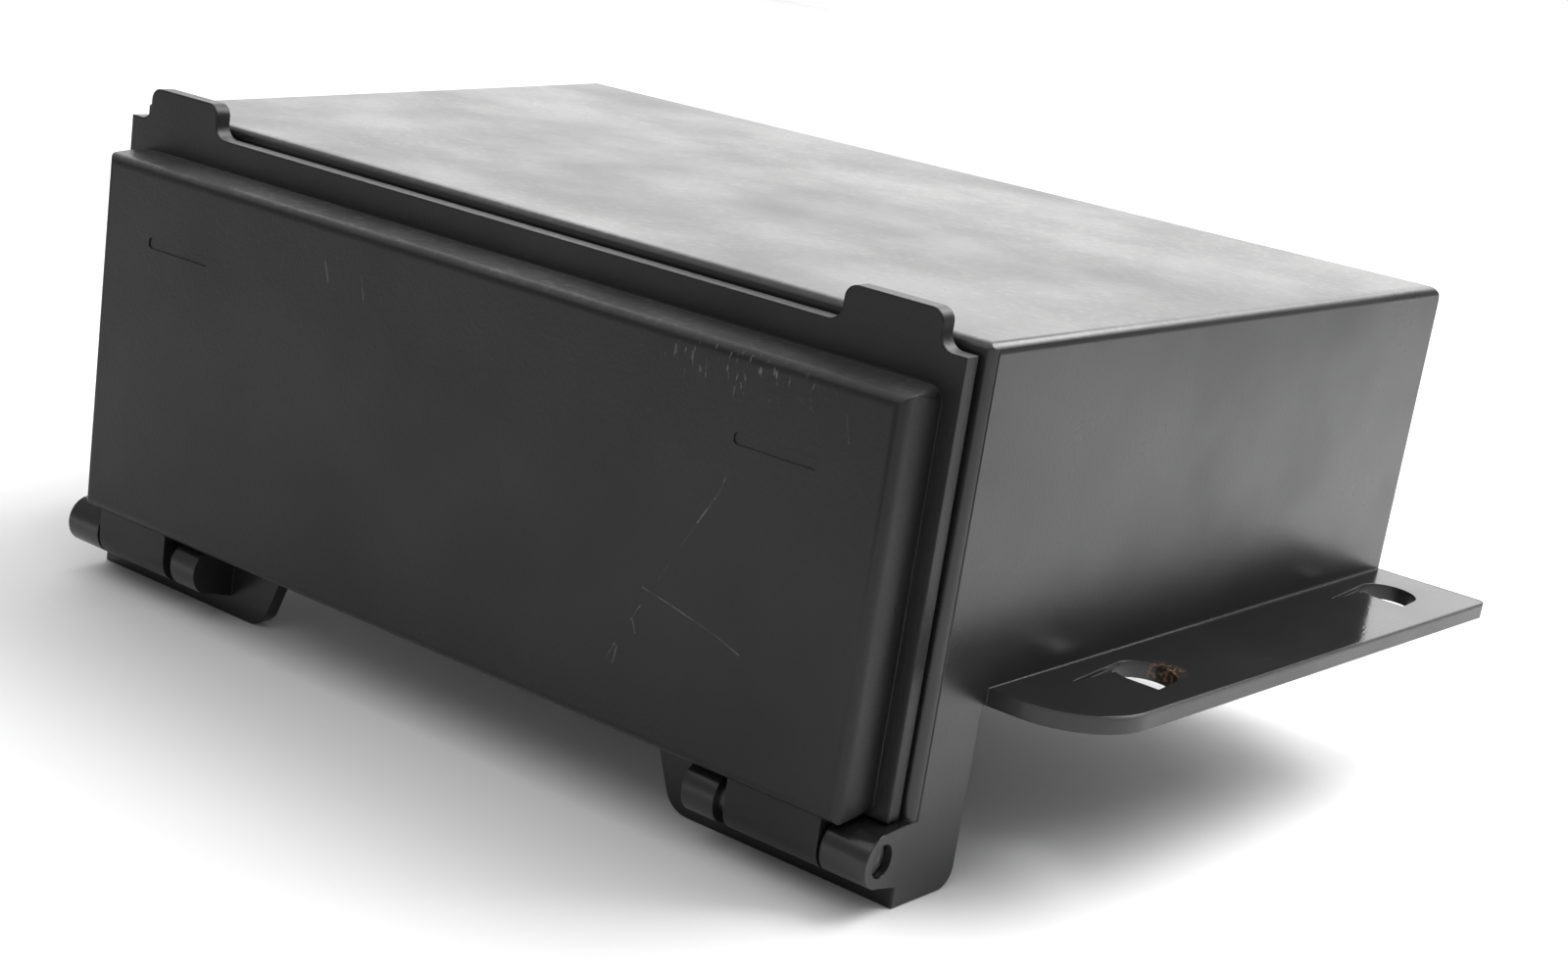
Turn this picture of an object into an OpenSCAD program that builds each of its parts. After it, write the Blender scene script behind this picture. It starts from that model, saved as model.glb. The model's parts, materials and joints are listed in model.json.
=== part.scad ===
// Parcel drop box: a hood-shaped housing on two slotted mounting plates, with a
// drop-down front door that turns on two pins in the housing's hanging legs.
// Modelled from the hinge pads backwards (Y) and from the plates' top upwards (Z);
// row_frame() then moves the origin to the middle of the bolt pattern, on the underside.

/* [Housing] */
// Width of the housing across its front
front_w = 300; // [250:1:360]
// Depth from the hinge pads to the rear wall
depth = 238; // [190:1:300]
// Height of the roof's front edge above the plates' top
roof_h = 91; // [80:1:120]
// Rise of the roof from its front edge to its rear edge
roof_rise = 1; // [0:0.5:3]
// Angle at which each side wall spreads towards the rear, in degrees
side_flare = 4.95; // [3:0.05:7]
// Thickness of the housing's walls
wall = 4; // [3:0.5:5]
// Rounding of the roof's long edges and of the front frame's outline
edge_r = 3; // [1:0.5:3.5]
// Rounding where the roof turns down into the rear wall
rear_edge_r = 5; // [2:0.5:6]

/* [Front frame] */
// Distance of the frame's face behind the face of the hinge pads
frame_set = 2.2; // [1.8:0.1:3]
// Thickness of the frame and of the hinge pads
frame_t = 4.5; // [3.5:0.5:6]
// Width of the frame at each side of the mouth
frame_side = 12; // [11:0.5:16]
// Height of the frame above the mouth
frame_top = 9; // [8:0.5:14]
// Height of the mouth's sill above the floor
sill_h = 3; // [0:0.5:8]
// Depth of the frame's apron below the plates' top
apron_drop = 31.5; // [28:0.5:34]
// Corner radius of the mouth
mouth_r = 6; // [2:0.5:10]

/* [Hinge legs] */
// Depth of the legs below the plates' top
leg_drop = 54.2; // [50:0.1:64]
// Depth of each leg's side return, from the hinge pads backwards
leg_return = 24.5; // [18:0.5:30]
// Width of each leg at its foot
leg_w = 71; // [64:0.5:90]
// Slant of each leg's inner end, in degrees
leg_slant = 21; // [5:1:30]
// Radius of each leg's inner bottom corner
leg_corner_r = 8; // [3:0.5:12]
// Radius of the rear bottom corner of each side return
return_corner_r = 5.5; // [2:0.5:8]

/* [Hinge] */
// Height of the hinge axis below the plates' top
pivot_drop = 38.8; // [38.8:0.1:42]
// Distance of the hinge axis in front of the hinge pads
pivot_out = 8.5; // [8:0.1:11]
// Outside radius of the barrels and knuckles
barrel_r = 7.3; // [6:0.1:7.3]
// Drop of the lugs' underside from the barrel back to the hinge pad
web_drop = 2.2; // [0:0.1:4]
// Radius of the hinge pins
pin_r = 4.4; // [2.5:0.1:4.8]
// Running clearance between a pin and its bores
pin_clear = 0.06; // [0.02:0.01:0.09]
// Width of each outer barrel, flush with the housing's side
barrel_w = 13.7; // [10:0.1:18]
// Gap between an outer barrel and the door's knuckle
knuckle_gap = 1; // [0.5:0.1:2]
// Width of each of the door's knuckles
knuckle_w = 29; // [18:0.5:34]
// Gap between the door's knuckle and the inner lug
lug_gap = 3.4; // [0.5:0.1:5]
// Width of each inner lug
lug_w = 10.2; // [8:0.1:14]
// Depth of the blind bore in the inner lug
lug_bore = 7; // [4:0.5:7.5]
// Recess of each pin's end below the side of the housing
pin_recess = 2; // [0.5:0.5:4]

/* [Mounting plates] */
// Thickness of the mounting plates and of the floor panel
plate_t = 4.7; // [3.5:0.1:6]
// Reach of a plate beyond the side wall, at the plate's front edge
plate_w = 31.7; // [28:0.1:45]
// Angle at which the plate's outer edge spreads towards the rear, in degrees
plate_flare = 6.15; // [2:0.05:8]
// Distance of the plates' front edge behind the hinge pads
plate_start = 26; // [25:0.5:34]
// Radius of each plate's front outer corner
plate_corner_r = 25; // [8:1:26]
// Radius of each plate's rear outer corner
plate_rear_r = 3; // [1:0.5:8]
// Radius of the fixing holes
hole_r = 8.5; // [6:0.1:9]
// Distance of the front fixing holes behind the hinge pads
hole_front = 75; // [60:0.5:90]
// Distance of the rear fixing holes in front of the rear wall's face
hole_rear = 23.5; // [18:0.5:40]
// Distance of the fixing holes outside the side wall
hole_out = 14.8; // [12:0.1:20]
// Length of the lead-in groove in front of each fixing hole's centre
groove_l = 24; // [14:1:30]
// Depth of the lead-in groove
groove_d = 1.2; // [0.6:0.1:2]

/* [Floor panel] */
// Gap round the edge of the floor panel
floor_gap = 0.4; // [0.3:0.1:1]
// Radius of the screw bosses on the side walls
boss_r = 5; // [4:0.5:7]
// Height of the screw bosses above the floor
boss_h = 14; // [12:1:24]
// Radius of the screws' shanks
screw_r = 1.7; // [1.5:0.1:2]
// Radius of the screws' countersunk heads
head_r = 3.6; // [3:0.1:4]
// Length of the screws
screw_l = 14; // [10:1:16]
// Land between a screw's countersink and the floor panel's edge
screw_land = 1.1; // [0.8:0.1:3]
// Clearance between a screw and its hole in the floor panel
screw_clear = 0.3; // [0.2:0.05:0.5]
// Clearance between a screw and its boss
thread_clear = 0.05; // [0.02:0.01:0.08]

/* [Mouth seal] */
// Width of the seal's section
seal_w = 3; // [2:0.5:4]
// Depth of the groove that holds the seal
seal_groove = 1; // [0.5:0.1:1.5]
// Gap between the seal and the closed door
seal_gap = 0.3; // [0.3:0.05:0.5]
// Distance of the seal's outline inside the door's flange
seal_in = 4; // [3:0.5:5]

/* [Door] */
// Gap between the door's flange and the front frame
flange_gap = 1.7; // [1.5:0.1:2.2]
// Thickness of the door's flange
flange_t = 5; // [4:0.1:6]
// Distance of the flange's side edges inside the housing's sides
flange_in = 2.5; // [1.5:0.1:4]
// Distance of the flange's top edge below the roof
flange_low = 3.2; // [1:0.1:5]
// Gap between the flange's bottom edge and the outer barrels
flange_lift = 0.7; // [0.5:0.1:1.5]
// Depth of the raised pan in front of the flange
pan_depth = 13.8; // [10:0.1:18]
// Width of the flange visible at each side of the pan
pan_side = 5; // [4:0.5:8]
// Height of the flange visible above the pan
pan_top = 8.6; // [7:0.1:14]
// Narrowing of the pan from the flange to its face, per side
pan_taper = 1.5; // [0.5:0.1:3]
// Rounding of the pan's front edges and corners
pan_r = 3.5; // [2:0.5:5]
// Thickness of the pan's skin
skin = 3.5; // [2.5:0.5:4.5]
// Thickness of the stiffening ribs behind the pan
rib_t = 2; // [1.5:0.5:3]
// Number of upright stiffening ribs
rib_count = 7; // [3:1:9]
// Number of level stiffening ribs
cross_count = 2; // [1:1:3]
// Distance of the ribs' edges in front of the flange's back
rib_set = 1; // [0.5:0.5:3]

/* [Finger tabs] */
// Width of each finger tab
tab_w = 28.3; // [24:0.1:34]
// Height of each tab above the flange's top edge
tab_h = 9.6; // [6:0.1:12]
// Distance of each tab's middle from the side of the housing
tab_in = 24.6; // [22:0.1:40]
// Corner radius of the tabs
tab_r = 3.5; // [2:0.5:4]
// Radius of the fillets at the tabs' roots
tab_root_r = 4; // [2:0.5:4.5]
// Thickness of the snap bead on the back of each tab
bead_t = 0.6; // [0.4:0.1:0.8]

/* [Locating marks] */
// Length of each recessed mark in the pan's face
mark_l = 25.4; // [15:0.1:35]
// Height of the mark
mark_h = 3.3; // [2:0.1:5]
// Depth of the mark below the pan's face
mark_t = 0.4; // [0.2:0.1:0.8]
// Distance of each mark's middle from the side of the housing
mark_in = 42.5; // [30:0.5:60]
// Height of the marks above the plates' top
mark_z = 55.9; // [40:0.1:65]

/* [Hidden] */
$fn = 64;
cut = 1;
half_front = front_w / 2;
hole_rear_y = depth - hole_rear;
origin_y = (hole_front + hole_rear_y) / 2;
rise_angle = atan(roof_rise / depth);
frame_back = frame_set + frame_t;
mouth_half = half_front - frame_side;
mouth_top = roof_h - frame_top;
bore_r = pin_r + pin_clear;
barrel_x = half_front - barrel_w;
knuckle_x = barrel_x - knuckle_gap - knuckle_w;
lug_x = knuckle_x - lug_gap - lug_w;
pin_end = half_front - pin_recess;
pin_start = lug_x + lug_w - lug_bore + pin_clear;
flange_back = frame_set - flange_gap;
flange_face = flange_back - flange_t;
flange_half = half_front - flange_in;
flange_z = roof_h - flange_low;
flange_foot = max(barrel_r - pivot_drop, -apron_drop) + flange_lift;
pan_face = flange_face - pan_depth;
pan_half = flange_half - pan_side;
pan_z = flange_z - pan_top;
tab_x = half_front - tab_in;
mark_x = half_front - mark_in;
seal_half = flange_half - seal_in;
seal_top = flange_z - seal_in;
seal_foot = flange_foot + skin / 2 - seal_w / 2;
seal_face = flange_back + seal_gap;
screw_edge = floor_gap + screw_land + screw_clear + head_r;
screw_rows = [plate_start + boss_r, origin_y, depth - wall - 3 * boss_r];

// Half the width over the side walls at a depth of y
function half_w(y) = half_front + y * tan(side_flare);
// Reach of a plate's outer edge at a depth of y
function plate_edge(y) = half_w(plate_start) + plate_w + (y - plate_start) * tan(plate_flare);
// Distance of a screw from the middle, in a row at a depth of y
function screw_x(y) = half_w(y) - wall - screw_edge;

module row_frame() {
    translate([0, -origin_y, plate_t]) children();
}

// Puts one copy on the right and its mirror image on the left
module both_sides() {
    children();
    mirror([1, 0, 0]) children();
}

// Stands an outline drawn in X and Z up, from a depth of y0 back to y1
module upright(y0, y1) {
    translate([0, y1, 0]) rotate([90, 0, 0]) linear_extrude(y1 - y0) children();
}

// Rounded rectangle from one corner point to the other
module rounded_rect(low, high, r) {
    size = high - low;
    translate(low + [r, 0]) square([size[0] - 2 * r, size[1]]);
    translate(low + [0, r]) square([size[0], size[1] - 2 * r]);
    for (x = [low[0] + r, high[0] - r], y = [low[1] + r, high[1] - r]) translate([x, y]) circle(r);
}

// What lies outside a quarter round of radius r in a corner at the origin
module corner_strip(r) {
    translate([-r, -r]) difference() {
        square(r + cut);
        circle(r);
    }
}

// Plan of the space between the side walls, inset by a margin
module plan(y0, y1, margin) {
    polygon([
        [-half_w(y0) + margin, y0], [half_w(y0) - margin, y0],
        [half_w(y1) - margin, y1], [-half_w(y1) + margin, y1]
    ]);
}

// Outline of the side wall in Y and Z, with its leg
module side_outline() {
    polygon([
        [frame_set, -plate_t], [depth, -plate_t],
        [depth, roof_h + roof_rise], [frame_set, roof_h]
    ]);
    translate([frame_set, -apron_drop - cut]) square([leg_return - frame_set, apron_drop + cut]);
    difference() {
        translate([0, -leg_drop]) square([leg_return, leg_drop - apron_drop]);
        translate([leg_return - return_corner_r, -leg_drop]) square(return_corner_r);
    }
    translate([leg_return - return_corner_r, return_corner_r - leg_drop]) circle(return_corner_r);
}

// Front outline of the right-hand leg in X and Z
module leg_outline() {
    foot = half_front - leg_w;
    tangent = leg_corner_r / tan(45 + leg_slant / 2);
    centre = [foot + tangent, leg_corner_r - leg_drop];
    polygon([
        [half_front, -leg_drop], [foot + tangent, -leg_drop], centre,
        [foot - tangent * sin(leg_slant), tangent * cos(leg_slant) - leg_drop],
        [foot - (leg_drop - apron_drop) * tan(leg_slant), -apron_drop],
        [half_front, -apron_drop]
    ]);
    translate(centre) circle(leg_corner_r);
}

// Plan of the right-hand mounting plate, from halfway into the side wall
module plate_outline() {
    tangent = plate_corner_r / tan(45 + plate_flare / 2);
    centre = [plate_edge(plate_start) - tangent, plate_start + plate_corner_r];
    touch = [
        plate_edge(plate_start) + tangent * sin(plate_flare),
        plate_start + tangent * cos(plate_flare)
    ];
    rear_x = plate_edge(depth - plate_rear_r);
    difference() {
        union() {
            polygon([
                [half_front, plate_start], [centre[0], plate_start], centre, touch,
                [rear_x, depth - plate_rear_r], [rear_x - plate_rear_r, depth], [half_front, depth]
            ]);
            translate(centre) circle(plate_corner_r);
            translate([rear_x - plate_rear_r, depth - plate_rear_r]) circle(plate_rear_r);
        }
        plan(0, depth + cut, wall / 2);
    }
}

// Fixing hole: round, with a squared outer front corner and a pointed lead-in groove
module fixing_hole(y) {
    corner = hole_r / 10;
    translate([half_w(y) + hole_out, y, 0]) {
        translate([0, 0, -plate_t - cut]) cylinder(r = hole_r, h = plate_t + 2 * cut);
        translate([corner, -hole_r, -plate_t - cut]) {
            cube([hole_r - corner, hole_r - corner, plate_t + 2 * cut]);
        }
        translate([0, 0, -groove_d]) linear_extrude(groove_d + cut) {
            polygon([[-hole_r, -groove_l], [-hole_r * 0.6, -hole_r * 0.8], [-hole_r, 0]]);
        }
    }
}

// Barrel of radius barrel_r about the hinge axis, carried back to the hinge pad
module hinge_lug(x, w) {
    translate([x, -pivot_out, -pivot_drop]) {
        rotate([0, 90, 0]) cylinder(r = barrel_r, h = w);
        rotate([90, 0, 90]) linear_extrude(w) polygon([
            [0, -barrel_r], [pivot_out, -barrel_r - web_drop],
            [pivot_out + frame_t / 2, -barrel_r - web_drop],
            [pivot_out + frame_t / 2, barrel_r], [0, barrel_r]
        ]);
    }
}

module hinge_bore(x, w) {
    translate([x, -pivot_out, -pivot_drop]) rotate([0, 90, 0]) cylinder(r = bore_r, h = w);
}

// Ring that follows the seal, in X and Z
module seal_ring() {
    low = [-seal_half, seal_foot];
    high = [seal_half, seal_top];
    difference() {
        rounded_rect(low, high, mouth_r);
        rounded_rect(low + [seal_w, seal_w], high - [seal_w, seal_w], mouth_r - seal_w / 2);
    }
}

// Everything that rounding takes off the housing's outer edges
module housing_rounding() {
    both_sides() translate([half_front, 0, roof_h]) rotate([rise_angle, 0, -side_flare]) {
        translate([0, depth / cos(side_flare) + cut, 0]) rotate([90, 0, 0]) {
            linear_extrude(depth / cos(side_flare) + 2 * cut) corner_strip(edge_r);
        }
    }
    both_sides() translate([half_w(frame_set), frame_set, -apron_drop]) {
        linear_extrude(apron_drop + roof_h + cut) mirror([0, 1]) corner_strip(edge_r);
    }
    translate([-half_front - cut, frame_set, roof_h]) rotate([90, 0, 90]) {
        linear_extrude(front_w + 2 * cut) mirror([1, 0]) corner_strip(edge_r);
    }
    translate([-half_w(depth), depth, roof_h + roof_rise]) rotate([90, 0, 90]) {
        linear_extrude(2 * half_w(depth)) corner_strip(rear_edge_r);
    }
}

// Roof, side walls, rear wall, front frame and side returns of the legs
module housing_shell() {
    difference() {
        intersection() {
            translate([0, 0, -leg_drop]) linear_extrude(leg_drop + roof_h + roof_rise) plan(0, depth, 0);
            translate([-half_w(depth), 0, 0]) rotate([90, 0, 90]) {
                linear_extrude(2 * half_w(depth)) side_outline();
            }
        }
        translate([0, 0, -leg_drop - cut]) linear_extrude(leg_drop + cut + roof_h - wall) {
            plan(frame_back, depth - wall, wall);
        }
        translate([0, 0, -leg_drop - cut]) linear_extrude(leg_drop + cut - apron_drop) {
            plan(-cut, frame_back + cut, wall);
        }
        upright(frame_set - cut, frame_back + cut) {
            rounded_rect([-mouth_half, sill_h], [mouth_half, mouth_top], mouth_r);
        }
        housing_rounding();
    }
}

// Bosses that the floor panel's screws bite into, each joined to the side wall
module screw_bosses() {
    for (y = screw_rows) both_sides() translate([screw_x(y), y, 0]) {
        cylinder(r = boss_r, h = boss_h);
        translate([0, -boss_r, 0]) cube([screw_edge + wall, 2 * boss_r, boss_h]);
    }
}

module housing() {
    color([0.16, 0.16, 0.17]) row_frame() difference() {
        union() {
            housing_shell();
            intersection() {
                screw_bosses();
                linear_extrude(boss_h) plan(0, depth, wall / 2);
            }
            both_sides() {
                upright(0, frame_t) leg_outline();
                translate([0, 0, -plate_t]) linear_extrude(plate_t) plate_outline();
                hinge_lug(barrel_x, barrel_w);
                hinge_lug(lug_x, lug_w);
            }
        }
        upright(frame_set - cut, frame_set + seal_groove) seal_ring();
        both_sides() {
            fixing_hole(hole_front);
            fixing_hole(hole_rear_y);
            hinge_bore(barrel_x - cut, barrel_w + 2 * cut);
            hinge_bore(lug_x + lug_w - lug_bore, lug_bore + cut);
        }
        for (y = screw_rows) both_sides() translate([screw_x(y), y, -cut]) {
            cylinder(r = screw_r + thread_clear, h = boss_h - 1);
        }
    }
}

module floor_panel() {
    color([0.2, 0.2, 0.21]) row_frame() difference() {
        translate([0, 0, -plate_t]) linear_extrude(plate_t) {
            plan(frame_back + floor_gap, depth - wall - floor_gap, wall + floor_gap);
        }
        for (y = screw_rows) both_sides() translate([screw_x(y), y, -plate_t]) {
            translate([0, 0, -cut]) cylinder(r = screw_r + screw_clear, h = plate_t + 2 * cut);
            rotate_extrude() polygon([
                [0, -cut], [head_r + screw_clear, -cut], [head_r + screw_clear, 0],
                [screw_r + screw_clear, head_r - screw_r], [0, head_r - screw_r]
            ]);
        }
    }
}

module floor_screws() {
    color([0.6, 0.6, 0.62]) row_frame() for (y = screw_rows) both_sides() {
        translate([screw_x(y), y, -plate_t]) rotate_extrude() polygon([
            [0, 0], [head_r, 0], [screw_r, head_r - screw_r],
            [screw_r, screw_l - screw_r], [0, screw_l]
        ]);
    }
}

module mouth_seal() {
    color([0.06, 0.06, 0.06]) row_frame() upright(seal_face, frame_set + seal_groove) seal_ring();
}

// Pin in the right-hand leg, with rounded ends
module hinge_pin() {
    length = pin_end - pin_start;
    translate([pin_start, -pivot_out, -pivot_drop]) rotate([0, 90, 0]) rotate_extrude() polygon([
        [0, 0], [pin_r - 0.5, 0], [pin_r, 0.5], [pin_r, length - 0.5], [pin_r - 0.5, length], [0, length]
    ]);
}

module hinge_pin_left() {
    color([0.45, 0.45, 0.46]) row_frame() mirror([1, 0, 0]) hinge_pin();
}

module hinge_pin_right() {
    color([0.45, 0.45, 0.46]) row_frame() hinge_pin();
}

// Fills the inside corner at the origin with a fillet of radius r
module root_fillet(r) {
    difference() {
        square(r);
        translate([r, r]) circle(r);
    }
}

// Outline of the door's flange in X and Z, with the finger tabs
module flange_outline() {
    translate([-flange_half, flange_foot]) square([2 * flange_half, flange_z - flange_foot]);
    for (side = [0, 1]) mirror([side, 0]) translate([tab_x, flange_z]) {
        rounded_rect([-tab_w / 2, -2 * tab_r], [tab_w / 2, tab_h], tab_r);
        for (edge = [0, 1]) mirror([edge, 0]) translate([tab_w / 2, 0]) root_fillet(tab_root_r);
    }
}

// Half of the pan's section: its face along X, its side leaning outwards with a taper
module pan_section(reach, taper, r, back) {
    lean = atan(taper / pan_depth);
    face = reach - taper;
    tangent = r / tan(45 + lean / 2);
    polygon([
        [0, 0], [face - tangent, 0], [face - tangent, r],
        [face + tangent * sin(lean), tangent * cos(lean)],
        [face + back * tan(lean), back], [0, back]
    ]);
    translate([face - tangent, r]) circle(r);
}

// Rounded, tapered block of the pan back to a depth of y1, smaller by a margin
module pan_block(margin, y1) {
    face_r = max(pan_r - margin, 1);
    middle = (pan_z + flange_foot) / 2;
    y0 = pan_face + margin;
    half = pan_half - margin;
    rise = (pan_z - flange_foot) / 2 - margin;
    intersection() {
        upright(y0, y1) rounded_rect([-half, middle - rise], [half, middle + rise], face_r);
        translate([0, y0, middle - rise]) linear_extrude(2 * rise) for (side = [0, 1]) {
            mirror([side, 0]) pan_section(half, pan_taper, face_r, y1 - y0);
        }
        translate([-half, y0, middle]) rotate([90, 0, 90]) linear_extrude(2 * half) {
            mirror([1, -1]) pan_section(rise, pan_taper, face_r, y1 - y0);
            mirror([0, 1]) mirror([1, -1]) pan_section(rise, 0, face_r, y1 - y0);
        }
    }
}

// Upright and level ribs across the hollow behind the pan
module pan_ribs() {
    rib_depth = flange_back - rib_set - pan_face - skin / 2;
    column = 2 * pan_half / (rib_count + 1);
    row = (pan_z - flange_foot) / (cross_count + 1);
    for (i = [1:rib_count]) {
        translate([i * column - pan_half - rib_t / 2, pan_face + skin / 2, flange_foot + skin / 2]) {
            cube([rib_t, rib_depth, pan_z - flange_foot - skin]);
        }
    }
    for (i = [1:cross_count]) {
        translate([-pan_half + skin / 2, pan_face + skin / 2, flange_foot + i * row - rib_t / 2]) {
            cube([2 * pan_half - skin, rib_depth, rib_t]);
        }
    }
}

// Knuckle that hangs from the pan's underside and turns on the pin
module door_knuckle() {
    translate([knuckle_x, -pivot_out, -pivot_drop]) {
        rotate([0, 90, 0]) cylinder(r = barrel_r, h = knuckle_w);
        translate([0, -barrel_r, 0]) cube([knuckle_w, 2 * barrel_r, pivot_drop + flange_foot + skin / 2]);
    }
}

module door() {
    color([0.14, 0.14, 0.15]) row_frame() difference() {
        union() {
            difference() {
                union() {
                    upright(flange_face, flange_back) flange_outline();
                    pan_block(0, flange_back);
                }
                pan_block(skin, flange_back + cut);
            }
            intersection() {
                pan_ribs();
                pan_block(0, flange_back);
            }
            both_sides() {
                door_knuckle();
                upright(flange_back - cut, flange_back + bead_t) {
                    translate([tab_x - tab_w / 2 + tab_r, flange_z + tab_h / 2]) {
                        square([tab_w - 2 * tab_r, tab_h / 2 - 1]);
                    }
                }
            }
        }
        both_sides() {
            hinge_bore(knuckle_x - cut, knuckle_w + 2 * cut);
            upright(pan_face - cut, pan_face + mark_t) {
                rounded_rect([mark_x - mark_l / 2, mark_z - mark_h / 2],
                    [mark_x + mark_l / 2, mark_z + mark_h / 2], mark_h / 2.5);
            }
        }
    }
}

housing();
floor_panel();
floor_screws();
mouth_seal();
hinge_pin_left();
hinge_pin_right();
door();
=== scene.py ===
"""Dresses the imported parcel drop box: mouldings, hinge pins, screws, seal, finishes and a small studio.

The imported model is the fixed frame. Each sub-assembly below takes its place from that frame,
builds its pieces in metres with the object standing at the origin, and dresses them.
"""

import functools
import json
import logging
import math
from dataclasses import dataclass, field
from enum import Enum
from typing import ClassVar

import bmesh
import bpy
from mathutils import Matrix, Vector


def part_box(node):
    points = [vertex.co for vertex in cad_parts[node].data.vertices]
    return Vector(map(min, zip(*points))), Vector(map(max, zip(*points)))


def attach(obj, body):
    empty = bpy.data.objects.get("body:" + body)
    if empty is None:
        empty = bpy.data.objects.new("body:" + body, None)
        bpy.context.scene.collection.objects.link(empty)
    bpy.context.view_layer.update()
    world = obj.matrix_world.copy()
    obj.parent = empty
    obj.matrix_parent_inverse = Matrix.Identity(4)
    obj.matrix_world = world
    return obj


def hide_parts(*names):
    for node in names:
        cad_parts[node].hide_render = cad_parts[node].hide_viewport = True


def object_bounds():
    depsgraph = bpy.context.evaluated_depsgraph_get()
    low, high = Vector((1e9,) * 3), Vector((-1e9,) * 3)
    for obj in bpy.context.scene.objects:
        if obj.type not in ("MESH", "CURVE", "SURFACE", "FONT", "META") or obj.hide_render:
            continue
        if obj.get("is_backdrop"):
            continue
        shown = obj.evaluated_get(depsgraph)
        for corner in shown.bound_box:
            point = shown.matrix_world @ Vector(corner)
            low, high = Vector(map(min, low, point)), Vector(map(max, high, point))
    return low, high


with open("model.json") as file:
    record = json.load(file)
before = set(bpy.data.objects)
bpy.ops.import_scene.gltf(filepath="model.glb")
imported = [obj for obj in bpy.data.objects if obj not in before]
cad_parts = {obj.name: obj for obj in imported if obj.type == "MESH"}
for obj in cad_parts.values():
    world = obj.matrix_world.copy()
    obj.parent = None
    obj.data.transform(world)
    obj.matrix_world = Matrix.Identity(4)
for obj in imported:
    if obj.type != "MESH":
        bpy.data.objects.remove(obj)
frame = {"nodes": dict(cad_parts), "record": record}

LOG = logging.getLogger("parcel_drop_box")

MM = 0.001
SHARP_ANGLE = math.radians(30)
WELD_DISTANCE = 2e-6
FLAT_SLACK = 0.01 * MM
FLAT_FACE_WEIGHT = 80
DUST_LEVEL = 50 * MM
LOOKS_UP = 0.5

Socket = bpy.types.NodeSocket
Point = tuple[float, float, float]
Value = Socket | float | tuple[float, ...]


class Softness(Enum):
    """How far an edge of a moulding is rounded off, as a radius in metres."""

    CRISP = 0.12 * MM
    EASED = 0.5 * MM
    ROUNDED = 1.1 * MM
    FULL = 1.8 * MM


class Slot(Enum):
    """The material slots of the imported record."""

    HOUSING = "housing_plastic"
    DOOR = "door_plastic"
    PANEL = "panel_plastic"
    SEAL = "seal_rubber"
    PIN = "pin_steel"
    SCREW = "screw_steel"


@functools.cache
def box(node: str) -> tuple[Vector, Vector]:
    """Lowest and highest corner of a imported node, read once."""
    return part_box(node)


def toward(azimuth_deg: float, elevation_deg: float) -> Vector:
    """Direction from the object to something that stands round it.

    Args:
        azimuth_deg: Angle from the front, positive to the object's right.
        elevation_deg: Angle above the floor.

    Returns:
        The unit vector.
    """
    azimuth = math.radians(azimuth_deg)
    elevation = math.radians(elevation_deg)
    level = math.cos(elevation)
    return Vector((math.sin(azimuth) * level, -math.cos(azimuth) * level, math.sin(elevation)))


# ---------------------------------------------------------------- finishes


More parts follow.
